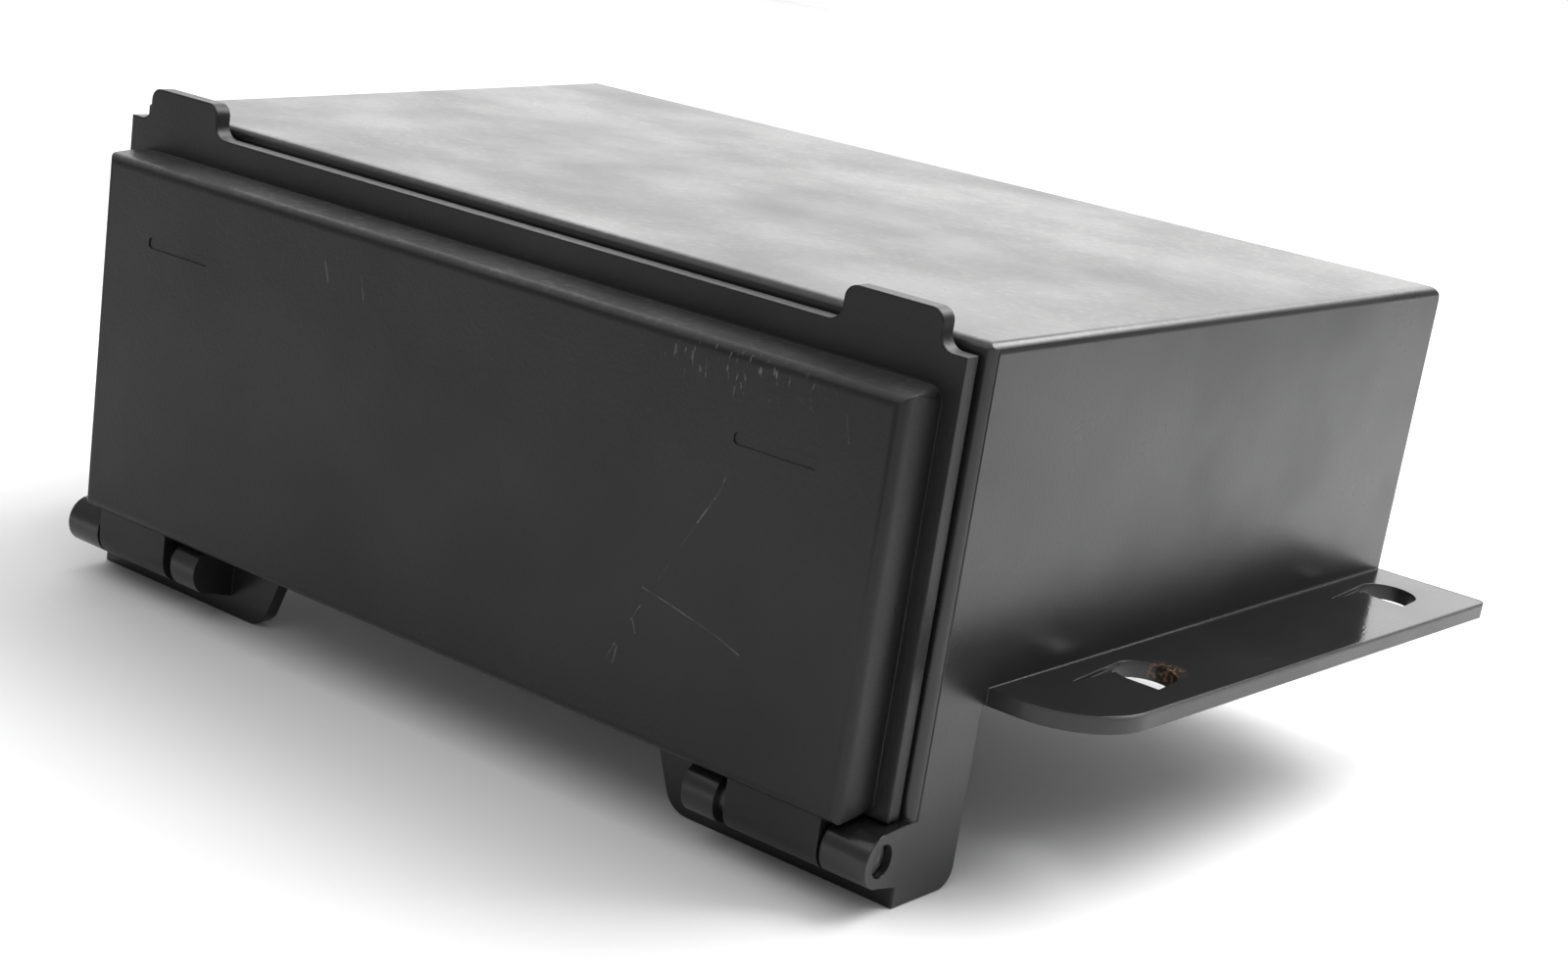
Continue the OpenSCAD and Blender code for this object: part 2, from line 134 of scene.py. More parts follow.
class NodeSketch:
    """A material's node tree, with short calls for the nodes that the finishes share."""

    def __init__(self, name: str) -> None:
        """Starts a material with a Principled shader wired to its output.

        Args:
            name: The material's name.
        """
        self.material = bpy.data.materials.new(name)
        self.material.use_nodes = True
        self.tree = self.material.node_tree
        self.tree.nodes.clear()
        self.shader = self.tree.nodes.new("ShaderNodeBsdfPrincipled")
        output = self.tree.nodes.new("ShaderNodeOutputMaterial")
        self.link(self.shader.outputs["BSDF"], output.inputs["Surface"])
        self.place = self.tree.nodes.new("ShaderNodeTexCoord").outputs["Object"]

    def link(self, source: Socket, target: Socket) -> None:
        """Joins two sockets."""
        self.tree.links.new(source, target)

    def set(self, target: Socket, value: Value) -> None:
        """Links a socket to the target, or sets a plain value on it.

        Args:
            target: The input that takes the value.
            value: A socket, a number or a colour.
        """
        if isinstance(value, Socket):
            self.link(value, target)
        else:
            target.default_value = value

    def noise(
        self, scale: float, detail: float, stretch: Point = (1, 1, 1), offset: Point = (0, 0, 0)
    ) -> Socket:
        """Noise on the object's own coordinates.

        Args:
            scale: Features per metre.
            detail: Octaves of finer noise.
            stretch: Scale along each axis before the noise.
            offset: Shift of the pattern, which makes one noise unlike another.

        Returns:
            The noise's factor, around 0.5.
        """
        mapping = self.tree.nodes.new("ShaderNodeMapping")
        mapping.inputs["Scale"].default_value = stretch
        mapping.inputs["Location"].default_value = offset
        self.link(self.place, mapping.inputs["Vector"])
        texture = self.tree.nodes.new("ShaderNodeTexNoise")
        texture.inputs["Scale"].default_value = scale
        texture.inputs["Detail"].default_value = detail
        self.link(mapping.outputs["Vector"], texture.inputs["Vector"])
        return texture.outputs["Fac"]

    def cells(self, scale: float) -> Socket:
        """A pebbled pattern of small cells.

        Args:
            scale: Cells per metre.

        Returns:
            The distance to the nearest cell's centre.
        """
        texture = self.tree.nodes.new("ShaderNodeTexVoronoi")
        texture.feature = "SMOOTH_F1"
        texture.inputs["Scale"].default_value = scale
        self.link(self.place, texture.inputs["Vector"])
        return texture.outputs["Distance"]

    def span(
        self, value: Value, low: float, high: float, out_low: float = 0.0, out_high: float = 1.0
    ) -> Socket:
        """Maps a range of values smoothly onto another, clamped at both ends.

        Args:
            value: The value to map.
            low: Start of the range that is read.
            high: End of the range that is read.
            out_low: Result at the start.
            out_high: Result at the end.

        Returns:
            The mapped value.
        """
        node = self.tree.nodes.new("ShaderNodeMapRange")
        node.interpolation_type = "SMOOTHSTEP"
        self.set(node.inputs["Value"], value)
        ends = {"From Min": low, "From Max": high, "To Min": out_low, "To Max": out_high}
        for key, number in ends.items():
            node.inputs[key].default_value = number
        return node.outputs["Result"]

    def math(self, operation: str, first: Value, second: Value = 0.0) -> Socket:
        """One step of arithmetic.

        Args:
            operation: The math node's operation.
            first: The first value.
            second: The second value, where the operation has one.

        Returns:
            The result.
        """
        node = self.tree.nodes.new("ShaderNodeMath")
        node.operation = operation
        self.set(node.inputs[0], first)
        self.set(node.inputs[1], second)
        return node.outputs[0]

    def blend(self, amount: Value, base: Value, top: Value) -> Socket:
        """Lays one colour over another.

        Args:
            amount: How much of the upper colour shows, from 0 to 1.
            base: The lower colour.
            top: The upper colour.

        Returns:
            The blended colour.
        """
        node = self.tree.nodes.new("ShaderNodeMix")
        node.data_type = "RGBA"
        self.set(node.inputs["Factor"], amount)
        self.set(node.inputs["A"], base)
        self.set(node.inputs["B"], top)
        return node.outputs["Result"]

    def attribute(self, name: str) -> Socket:
        """Reads a number that the piece's mesh carries.

        Args:
            name: The attribute's name.

        Returns:
            Its value.
        """
        node = self.tree.nodes.new("ShaderNodeAttribute")
        node.attribute_name = name
        return node.outputs["Fac"]

    def rounded(self) -> Socket:
        """Rounds every edge by the radius that the mesh carries.

        Returns:
            The rounded normal.
        """
        node = self.tree.nodes.new("ShaderNodeBevel")
        node.samples = 4
        self.link(self.attribute("edge_radius"), node.inputs["Radius"])
        return node.outputs["Normal"]

    def bump(self, height: Socket, distance: float, strength: float, under: Socket | None = None) -> Socket:
        """Bump, laid over another normal where one is given.

        Args:
            height: The pattern of heights, from 0 to 1.
            distance: How deep a full height is, in metres.
            strength: How much of the bump shows.
            under: The normal below it.

        Returns:
            The bumped normal.
        """
        node = self.tree.nodes.new("ShaderNodeBump")
        node.inputs["Distance"].default_value = distance
        node.inputs["Strength"].default_value = strength
        self.link(height, node.inputs["Height"])
        if under is not None:
            self.link(under, node.inputs["Normal"])
        return node.outputs["Normal"]

    def vector(self, operation: str, first: Value, second: Value = (0, 0, 0)) -> bpy.types.Node:
        """One step of vector arithmetic.

        Args:
            operation: The vector math node's operation.
            first: The first vector.
            second: The second vector, where the operation has one.

        Returns:
            The node itself, whose output depends on the operation.
        """
        node = self.tree.nodes.new("ShaderNodeVectorMath")
        node.operation = operation
        self.set(node.inputs[0], first)
        self.set(node.inputs[1], second)
        return node

    def scaled(self, vector: Value, amount: Socket) -> Socket:
        """Scales a vector or a colour.

        Args:
            vector: The vector or colour.
            amount: The factor.

        Returns:
            The scaled vector.
        """
        node = self.vector("SCALE", vector)
        self.link(amount, node.inputs["Scale"])
        return node.outputs["Vector"]

    def ball(self, centre: Vector, inner: float, outer: float) -> Socket:
        """1 near a point, falling to 0 from the inner to the outer distance."""
        offset = self.vector("DISTANCE", self.place, tuple(centre))
        return self.span(offset.outputs["Value"], inner, outer, 1.0, 0.0)

    def line(self, start: Vector, end: Vector, width: float) -> Socket:
        """A mask along a straight line.

        Args:
            start: One end of the line.
            end: Its other end.
            width: How far from the line the mask reaches.

        Returns:
            1 on the line's core, falling to 0 at the width.
        """
        core = width * 0.2
        along = end - start
        away = self.vector("SUBTRACT", self.place, tuple(start)).outputs["Vector"]
        share = self.vector("DOT_PRODUCT", away, tuple(along / along.length_squared)).outputs["Value"]
        held = self.math("MINIMUM", self.math("MAXIMUM", share, 0.0), 1.0)
        foot = self.scaled(tuple(along), held)
        gap = self.vector("DISTANCE", away, foot).outputs["Value"]
        return self.span(gap, core, width, 1.0, 0.0)


@dataclass(frozen=True)
class Scratch:
    """A thin scratch on a moulding: a chain of points in metres, its width and how pale it is."""

    points: tuple[Point, ...]
    width: float = 0.3 * MM
    strength: float = 0.3


@dataclass(frozen=True)
class MouldedPlastic:
    """Black injection-moulded plastic with a fine mould grain, dust, scratches, chafe marks and grime."""

    name: str
    colour: Point = (0.011, 0.011, 0.0115)
    dust_colour: Point = (0.34, 0.335, 0.33)
    grime_colour: Point = (0.16, 0.09, 0.045)
    roughness: float = 0.4
    rubbed_gloss: float = 0.17
    specular: float = 0.45
    grain: float = 1.0
    grain_scale: float = 1000.0
    dust: float = 0.3
    scratches: tuple[Scratch, ...] = ()
    scratch_dullness: float = 0.2
    scuff_band: Point | None = None
    scuff_reach: Point = (35 * MM, 20 * MM, 7.5 * MM)
    scuff_strength: float = 0.26
    grime_spots: tuple[Point, ...] = ()
    grime_core: float = 3 * MM
    grime_reach: float = 7 * MM

    def build(self) -> bpy.types.Material:
        """Makes the material.

        Returns:
            The material, on Object coordinates and the attributes that a moulding's mesh carries.
        """
        sketch = NodeSketch(self.name)
        mottle = sketch.span(sketch.noise(14, 4.0), 0.3, 0.7, 0.86, 1.16)
        colour = self._dusted(sketch, sketch.scaled(self.colour, mottle))
        pale = self._scratched(sketch)
        if pale is not None:
            colour = sketch.blend(pale, colour, (*self.dust_colour, 1))
        sketch.link(self._grimed(sketch, colour), sketch.shader.inputs["Base Color"])
        sketch.link(self._dulled(sketch, pale), sketch.shader.inputs["Roughness"])
        sketch.shader.inputs["Specular IOR Level"].default_value = self.specular
        sketch.link(self._grained(sketch), sketch.shader.inputs["Normal"])
        return sketch.material

    def _dusted(self, sketch: NodeSketch, colour: Socket) -> Socket:
        """Lays blotchy dust on faces that look up, and a faint bloom everywhere.

        Args:
            sketch: The material's node tree.
            colour: The colour below.

        Returns:
            The dusty colour.
        """
        blotch = sketch.span(sketch.noise(9, 6.0, offset=(2, 8, 1)), 0.32, 0.72, 0.35, 1.0)
        specks = sketch.span(sketch.noise(420, 2.0, offset=(9, 4, 2)), 0.45, 0.75, 0.75, 1.25)
        amount = sketch.math("MULTIPLY", sketch.math("MULTIPLY", blotch, specks), self.dust)
        on_top = sketch.math("MULTIPLY", amount, sketch.attribute("upward"))
        bloom = sketch.span(sketch.noise(30, 6.0, offset=(7, 7, 0)), 0.5, 0.8, 0.0, 0.01)
        return sketch.blend(sketch.math("ADD", on_top, bloom), colour, (*self.dust_colour, 1))

    def _scratched(self, sketch: NodeSketch) -> Socket | None:
        """Gathers the scratches and the chafed band.

        Args:
            sketch: The material's node tree.

        Returns:
            One mask of how pale the surface is, or nothing where it is unmarked.
        """
        masks = []
        broken = sketch.span(sketch.noise(260, 3.0, offset=(1, 6, 3)), 0.38, 0.62, 0.15, 1.0)
        for scratch in self.scratches:
            for start, end in zip(scratch.points, scratch.points[1:]):
                line = sketch.line(Vector(start), Vector(end), scratch.width)
                masks.append(sketch.math("MULTIPLY", sketch.math("MULTIPLY", line, broken), scratch.strength))
        if self.scuff_band is not None:
            masks.append(self._scuffed(sketch))
        if not masks:
            return None
        return functools.reduce(lambda first, second: sketch.math("MAXIMUM", first, second), masks)

    def _scuffed(self, sketch: NodeSketch) -> Socket:
        """Small upright chafe marks in a band around its middle.

        Args:
            sketch: The material's node tree.

        Returns:
            The mask of the marks.
        """
        inside = sketch.vector("SUBTRACT", sketch.place, self.scuff_band).outputs["Vector"]
        shape = sketch.vector("MULTIPLY", inside, tuple(1 / reach for reach in self.scuff_reach))
        far = sketch.vector("LENGTH", shape.outputs["Vector"]).outputs["Value"]
        near = sketch.span(far, 0.3, 1.0, 1.0, 0.0)
        chips = sketch.noise(520, 3.0, stretch=(1.5, 1, 0.45), offset=(4, 0, 4))
        marks = sketch.math("MULTIPLY", sketch.span(chips, 0.6, 0.68), near)
        return sketch.math("MULTIPLY", marks, self.scuff_strength)

    def _grimed(self, sketch: NodeSketch, colour: Socket) -> Socket:
        """Rubs brown grime into the given spots.

        Args:
            sketch: The material's node tree.
            colour: The colour below.

        Returns:
            The grimy colour.
        """
        for spot in self.grime_spots:
            near = sketch.ball(Vector(spot), self.grime_core, self.grime_reach)
            crumbs = sketch.span(sketch.noise(900, 4.0, offset=(0, 3, 9)), 0.5, 0.6)
            colour = sketch.blend(sketch.math("MULTIPLY", near, crumbs), colour, (*self.grime_colour, 1))
        return colour

    def _dulled(self, sketch: NodeSketch, pale: Socket | None) -> Socket:
        """Patchy roughness, glossier where it is rubbed and duller along the scratches.

        Args:
            sketch: The material's node tree.
            pale: The mask of the scratches, where there are any.

        Returns:
            The roughness.
        """
        patches = sketch.span(sketch.noise(22, 5.0, offset=(3, 1, 7)), 0.3, 0.72, -0.05, 0.07)
        rough = sketch.math("ADD", patches, self.roughness)
        gloss = sketch.math("MULTIPLY", sketch.attribute("rubbed"), self.rubbed_gloss)
        rough = sketch.math("SUBTRACT", rough, gloss)
        if pale is not None:
            rough = sketch.math("ADD", rough, sketch.math("MULTIPLY", pale, self.scratch_dullness))
        return rough

    def _grained(self, sketch: NodeSketch) -> Socket:
        """Rounded edges under coarse and fine mould grain and a little sink.

        Args:
            sketch: The material's node tree.

        Returns:
            The normal.
        """
        pebbles = sketch.cells(self.grain_scale)
        coarse = sketch.bump(pebbles, 0.09 * MM, 0.5 * self.grain, sketch.rounded())
        grit = sketch.noise(self.grain_scale * 2.6, 2.0)
        fine = sketch.bump(grit, 0.03 * MM, 0.5 * self.grain, coarse)
        waves = sketch.noise(16, 1.0, offset=(5, 5, 5))
        return sketch.bump(waves, 0.5 * MM, 0.12, fine)


@dataclass(frozen=True)
class FoamRubber:
    """Matt black foam strip with open pores."""

    name: str
    colour: Point = (0.012, 0.012, 0.012)
    pore_scale: float = 2200.0
    roughness: float = 0.85
    specular: float = 0.2

    def build(self) -> bpy.types.Material:
        """Makes the material from pores and a dull, rough surface.

        Returns:
            The material.
        """
        sketch = NodeSketch(self.name)
        pores = sketch.cells(self.pore_scale)
        # The pores' cells also set the tone: half as bright down in each pit and paler on the ridges between
        # them, which is painted shade in the pores.
        tone = sketch.span(pores, 0.1, 0.5, 0.5, 1.5)
        sketch.link(sketch.scaled(self.colour, tone), sketch.shader.inputs["Base Color"])
        sketch.shader.inputs["Roughness"].default_value = self.roughness
        sketch.shader.inputs["Specular IOR Level"].default_value = self.specular
        sketch.link(sketch.bump(pores, 0.2 * MM, 0.7), sketch.shader.inputs["Normal"])
        return sketch.material


@dataclass(frozen=True)
class PlatedSteel:
    """Turned or cold-headed steel, dulled, with fine marks round its axis."""

    name: str
    colour: Point = (0.42, 0.42, 0.43)
    roughness: float = 0.38
    marks_along: Point = (1, 1, 1)

    def build(self) -> bpy.types.Material:
        """Makes the material from turning marks, stains and plate bloom.

        Returns:
            The material.
        """
        sketch = NodeSketch(self.name)
        stain = sketch.span(sketch.noise(160, 4.0), 0.35, 0.7, 0.6, 1.1)
        sketch.link(sketch.scaled(self.colour, stain), sketch.shader.inputs["Base Color"])
        sketch.shader.inputs["Metallic"].default_value = 1.0
        marks = sketch.noise(900, 3.0, stretch=self.marks_along)
        rough = sketch.span(marks, 0.3, 0.7, self.roughness - 0.08, self.roughness + 0.12)
        sketch.link(rough, sketch.shader.inputs["Roughness"])
        sketch.link(sketch.bump(marks, 0.02 * MM, 0.5), sketch.shader.inputs["Normal"])
        return sketch.material


@dataclass(frozen=True)
class PaleFloor:
    """Plain pale studio floor."""

    name: str = "pale_floor"
    colour: Point = (0.93, 0.93, 0.93)
    roughness: float = 0.9
    specular: float = 0.1

    def build(self) -> bpy.types.Material:
        """Makes the material with a barely visible unevenness.

        Returns:
            The material.
        """
        sketch = NodeSketch(self.name)
        tone = sketch.span(sketch.noise(3, 2.0), 0.3, 0.7, 0.99, 1.0)
        sketch.link(sketch.scaled(self.colour, tone), sketch.shader.inputs["Base Color"])
        sketch.shader.inputs["Roughness"].default_value = self.roughness
        sketch.shader.inputs["Specular IOR Level"].default_value = self.specular
        return sketch.material


Finish = MouldedPlastic | FoamRubber | PlatedSteel


# ---------------------------------------------------------------- mesh helpers


def new_piece(name: str, mesh: bmesh.types.BMesh, body: str, finish: Finish) -> bpy.types.Object:
    """Turns a finished bmesh into a smooth-shaded piece that rides on a body.

    Args:
        name: The piece's name.
        mesh: The bmesh, in metres in the frame's own axes. It is freed.
        body: The body that the piece moves with.
        finish: The finish whose material dresses the piece.

    Returns:
        The new object, at the origin, unturned and unscaled.
    """
    data = bpy.data.meshes.new(name)
    for face in mesh.faces:
        face.smooth = True
    mesh.to_mesh(data)
    mesh.free()
    data.materials.append(finish.build())
    piece = bpy.data.objects.new(name, data)
    bpy.context.scene.collection.objects.link(piece)
    weighted = piece.modifiers.new("flat_faces", "WEIGHTED_NORMAL")
    weighted.keep_sharp = True
    weighted.weight = FLAT_FACE_WEIGHT
    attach(piece, body)
    return piece


def middle(edge: bmesh.types.BMEdge) -> Vector:
    """The midpoint of an edge."""
    return (edge.verts[0].co + edge.verts[1].co) / 2


def lathe(profile: list[tuple[float, float]], start: Vector, axis: Vector, steps: int) -> bmesh.types.BMesh:
    """Spins a profile round an axis.

    Args:
        profile: Pairs of distance along the axis and radius, from pole to pole.
        start: The point on the axis that distances are counted from.
        axis: The axis's direction.
        steps: Segments of the full turn.

    Returns:
        A closed bmesh with outward faces.
    """
    mesh = bmesh.new()
    along = axis.normalized()
    side = along.orthogonal().normalized()
    points = [mesh.verts.new(start + along * far + side * radius) for far, radius in profile]
    edges = [mesh.edges.new(pair) for pair in zip(points, points[1:])]
    bmesh.ops.spin(
        mesh, geom=points + edges, cent=start, axis=along, angle=2 * math.pi, steps=steps, use_merge=True)
    bmesh.ops.remove_doubles(mesh, verts=mesh.verts, dist=WELD_DISTANCE)
    bmesh.ops.recalc_face_normals(mesh, faces=mesh.faces)
    return mesh


# ---------------------------------------------------------------- sub-assemblies


@dataclass
class Moulding:
    """A moulded piece: the frame's own shape, with a mould's rounding carried on its edges."""

    node: str
    body: str
    slot: Slot
    finish: MouldedPlastic | FoamRubber
    general: Softness = Softness.EASED

    def softness(self, edge: bmesh.types.BMEdge) -> Softness:
        """How far one sharp edge is rounded. A sub-class picks by place."""
        return self.general

    def build(self) -> list[bpy.types.Object]:
        """Builds the piece on a welded copy of the frame's node, which it replaces.

        Returns:
            The finished piece, in a list of one.
        """
        mesh = bmesh.new()
        mesh.from_mesh(frame["nodes"][self.node].data)
        bmesh.ops.remove_doubles(mesh, verts=mesh.verts, dist=WELD_DISTANCE)
        self._mark_edges(mesh)
        self._mark_upward(mesh)
        piece = new_piece(f"{self.node}_moulding", mesh, self.body, self.finish)
        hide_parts(self.node)
        return [piece]

    def _mark_edges(self, mesh: bmesh.types.BMesh) -> None:
        """Marks the sharp edges, and how far each corner's edges are rounded, in metres.

        Args:
            mesh: The moulding's mesh.
        """
        rounding = mesh.verts.layers.float.new("edge_radius")
        usual = self.general.value
        for vert in mesh.verts:
            vert[rounding] = usual
        for edge in mesh.edges:
            if edge.calc_face_angle(0.0) > SHARP_ANGLE:
                edge.smooth = False
                radius = self.softness(edge).value
                for vert in edge.verts:
                    vert[rounding] = max(vert[rounding], radius) if radius > usual else radius

    @staticmethod
    def _mark_upward(mesh: bmesh.types.BMesh) -> None:
        """Marks faces that look up: high ones hold dust, low ones are rubbed smooth.

        Args:
            mesh: The moulding's mesh.
        """
        upward = mesh.faces.layers.float.new("upward")
        rubbed = mesh.faces.layers.float.new("rubbed")
        for face in mesh.faces:
            level = min(max((face.normal.z - LOOKS_UP) / (1 - LOOKS_UP), 0.0), 1.0)
            high = face.calc_center_median().z > DUST_LEVEL
            face[upward] = level if high else 0.0
            face[rubbed] = 0.0 if high else level


@dataclass
class Housing(Moulding):
    """The hood with its frame, legs, barrels and slotted mounting plates."""

    rim_offset: ClassVar[Point] = (2 * MM, 8 * MM, 3 * MM)

    node: str = "housing"
    body: str = "housing"
    slot: Slot = Slot.HOUSING
    finish: MouldedPlastic = field(default_factory=lambda: MouldedPlastic(
        "housing_plastic", dust=0.34, roughness=0.32, specular=0.52, grain=0.4,
        grime_spots=Housing.grimy_rims()))
    hole_surround: float = 27 * MM
    plate_inset: float = 14 * MM
    plate_slack: float = 1 * MM
    plate_top_slack: float = 0.5 * MM
    short_edge: float = 4 * MM

    @staticmethod
    def hole_centres() -> list[Vector]:
        """Reads the four fixing holes from the record's mounts.

        Returns:
            The holes' centres.
        """
        centres = []
        for mount in frame["record"]["mounts"]:
            if mount["kind"] == "bolt_pattern":
                reach = mount["dims"]["spacing_x_mm"] * MM / 2
                centres += [Vector(mount["pos_m"]) + Vector((side * reach, 0, 0)) for side in (-1, 1)]
        return centres

    @staticmethod
    def grimy_rims() -> tuple[Point, ...]:
        """The far side of the front right hole, where grime has gathered."""
        front_right = [centre for centre in Housing.hole_centres() if centre.y < 0 < centre.x]
        return tuple(tuple(centre + Vector(Housing.rim_offset)) for centre in front_right)

    def softness(self, edge: bmesh.types.BMEdge) -> Softness:
        """Crisp round the holes, full on the plates' outer top edges, rounded below the mouth.

        Args:
            edge: A sharp edge.

        Returns:
            How far it is rounded.
        """
        place = middle(edge)
        panel_low, panel_high = box("floor_panel")
        plate_start = panel_high.x + self.plate_inset
        concave = edge.calc_face_angle_signed(0.0) < 0
        on_plate = abs(place.x) > plate_start and place.z < panel_high.z + self.plate_slack
        hole_distance = min((place - centre).to_2d().length for centre in self.hole_centres())
        if on_plate and hole_distance < self.hole_surround and self._looks_inward(edge):
            return Softness.CRISP
        outermost = max(abs(vert.co.x) for vert in edge.verts) > plate_start
        at_top = abs(place.z - panel_high.z) < self.plate_top_slack
        if on_plate and outermost and at_top and not concave:
            return Softness.FULL
        in_front = box(self.node)[0].y < place.y < panel_low.y
        if in_front and place.z < panel_high.z and not concave:
            return Softness.ROUNDED if edge.calc_length() > self.short_edge else Softness.EASED
        return self.general

    def _looks_inward(self, edge: bmesh.types.BMEdge) -> bool:
        """Tells an edge of a hole or its lead-in, whose upright face looks at the hole.

        Args:
            edge: A sharp edge on a plate.

        Returns:
            True for such an edge, and for one between level faces.
        """
        hole = min(self.hole_centres(), key=lambda centre: (middle(edge) - centre).to_2d().length)
        inward = (hole - middle(edge)).to_2d()
        upright = [face for face in edge.link_faces if abs(face.normal.z) < LOOKS_UP]
        return any(face.normal.to_2d().dot(inward) > 0 for face in upright) or not upright


@dataclass
class Door(Moulding):
    """The drop-down door: flange, raised pan, knuckles and finger tabs."""

    node: str = "door"
    body: str = "door"
    slot: Slot = Slot.DOOR
    # The door's plastic is a slightly darker, less reflective copy of the housing's (colour 0.0105, specular
    # 0.3): painted shade for the door's front, which takes less light.
    finish: MouldedPlastic = field(default_factory=lambda: MouldedPlastic(
        "door_plastic", colour=(0.0105, 0.0105, 0.011), dust=0.3, roughness=0.4, specular=0.3,
        scratches=Door.worn_scratches(), scuff_band=Door.on_face(95, 77)))
    mark_depth: float = 1 * MM
    knuckle_height: float = 20 * MM
    pan_wall: float = 4 * MM
    rib_side_inset: float = 8 * MM
    rib_foot_inset: float = 18 * MM
    rib_top_inset: float = 20 * MM
    flange_thickness: float = 6.5 * MM
    flange_slack: float = 1.2 * MM

    @staticmethod
    def on_face(across: float, up: float) -> Point:
        """A point on the pan's face, by its place from the middle and above the base, in millimetres."""
        return (across * MM, box("door")[0].y, up * MM)

    @staticmethod
    def worn_scratches() -> tuple[Scratch, ...]:
        """The handling scratches on the pan's face.

        Returns:
            The scratches, from the longest at the right to the short ones along the top.
        """
        at = Door.on_face
        return (
            Scratch((at(94.2, 50.3), at(93, 45.9), at(87.7, 36.6))),
            Scratch((at(87.7, 36.6), at(78.2, 18.5)), strength=0.05),
            Scratch((at(73.6, 15.1), at(83.2, 13.3), at(97.7, 10.1), at(105.8, 7.4)), strength=0.22),
            Scratch((at(73.7, 10.2), at(71.3, 5.5)), strength=0.2),
            Scratch((at(71.9, 5.9), at(73.2, 2.6)), strength=0.2),
            Scratch((at(67.3, -2.2), at(64.9, -7.1)), strength=0.2),
            Scratch((at(68.1, -2.6), at(67.4, -7.4)), strength=0.2),
            Scratch((at(126, 74.3), at(127.6, 68)), strength=0.22),
            Scratch((at(-65, 70), at(-64.8, 66.1)), strength=0.2),
            Scratch((at(-34.3, 70.5), at(-32.7, 64.1)), strength=0.2),
            Scratch((at(-48.4, 71.3), at(-46.6, 66)), strength=0.2),
        )

    def softness(self, edge: bmesh.types.BMEdge) -> Softness:
        """Rounded on the flange's and tabs' front edges, crisp at the shallow marks and the ribs.

        Args:
            edge: A sharp edge.

        Returns:
            How far it is rounded.
        """
        place = middle(edge)
        low, high = box(self.node)
        if place.y < low.y + self.mark_depth and abs(place.z - low.z) > self.knuckle_height:
            return Softness.CRISP
        behind = place.y > low.y + self.pan_wall
        between_sides = abs(place.x) < high.x - self.rib_side_inset
        between_ends = low.z + self.rib_foot_inset < place.z < high.z - self.rib_top_inset
        if behind and between_sides and between_ends:
            return Softness.CRISP
        flange_front = high.y - self.flange_thickness
        convex = edge.calc_face_angle_signed(0.0) > 0
        if abs(place.y - flange_front) < self.flange_slack and convex:
            return Softness.ROUNDED
        return self.general


@dataclass
class FloorPanel(Moulding):
    """The flat panel that closes the underside."""

    node: str = "floor_panel"
    body: str = "housing"
    slot: Slot = Slot.PANEL
    finish: MouldedPlastic = field(default_factory=lambda: MouldedPlastic(
        "panel_plastic", colour=(0.02, 0.02, 0.0205), dust=0.12, roughness=0.5, grain_scale=900.0))


@dataclass
class MouthSeal(Moulding):
    """The foam strip round the mouth."""

    node: str = "mouth_seal"
    body: str = "housing"
    slot: Slot = Slot.SEAL
    finish: FoamRubber = field(default_factory=lambda: FoamRubber("seal_foam"))


@dataclass
class HingePins:
    """The two steel pins, each turned with a rounded head and a centre-drilled end."""

    crown: float = 0.5 * MM
    crown_share: float = 0.3
    dimple_depth: float = 0.7 * MM
    dimple_radius: float = 1.1 * MM
    turn_steps: int = 48
    finish: PlatedSteel = field(default_factory=lambda: PlatedSteel(
        "pin_steel", colour=(0.2, 0.2, 0.205), roughness=0.42, marks_along=(0.08, 1, 1)))

    def build(self) -> list[bpy.types.Object]:
        """Builds both pins, each with its drilled end at the side of the housing.

        Returns:
            The left and the right pin.
        """
        return [self._pin("hinge_pin_left", -1), self._pin("hinge_pin_right", 1)]

    def _pin(self, node: str, outward: int) -> bpy.types.Object:
        """Turns one pin in the place of its node.

        Args:
            node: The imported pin.
            outward: -1 where its drilled end looks left, 1 where it looks right.

        Returns:
            The finished pin.
        """
        low, high = box(node)
        centre = (low + high) / 2
        inner_end = Vector((low.x if outward > 0 else high.x, centre.y, centre.z))
        radius = (high.z - low.z) / 2
        length = high.x - low.x
        edge = radius - self.crown
        rise = self.crown * self.crown_share
        swell = edge + self.crown * (1 - self.crown_share)
        profile = [
            (0, 0), (0, edge), (rise, swell), (self.crown, radius),
            (length - self.crown, radius), (length - rise, swell), (length, edge),
            (length, self.dimple_radius), (length - self.dimple_depth, 0),
        ]
        mesh = lathe(profile, inner_end, Vector((outward, 0, 0)), self.turn_steps)
        pin = new_piece(f"{node}_turned", mesh, "housing", self.finish)
        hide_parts(node)
        return pin


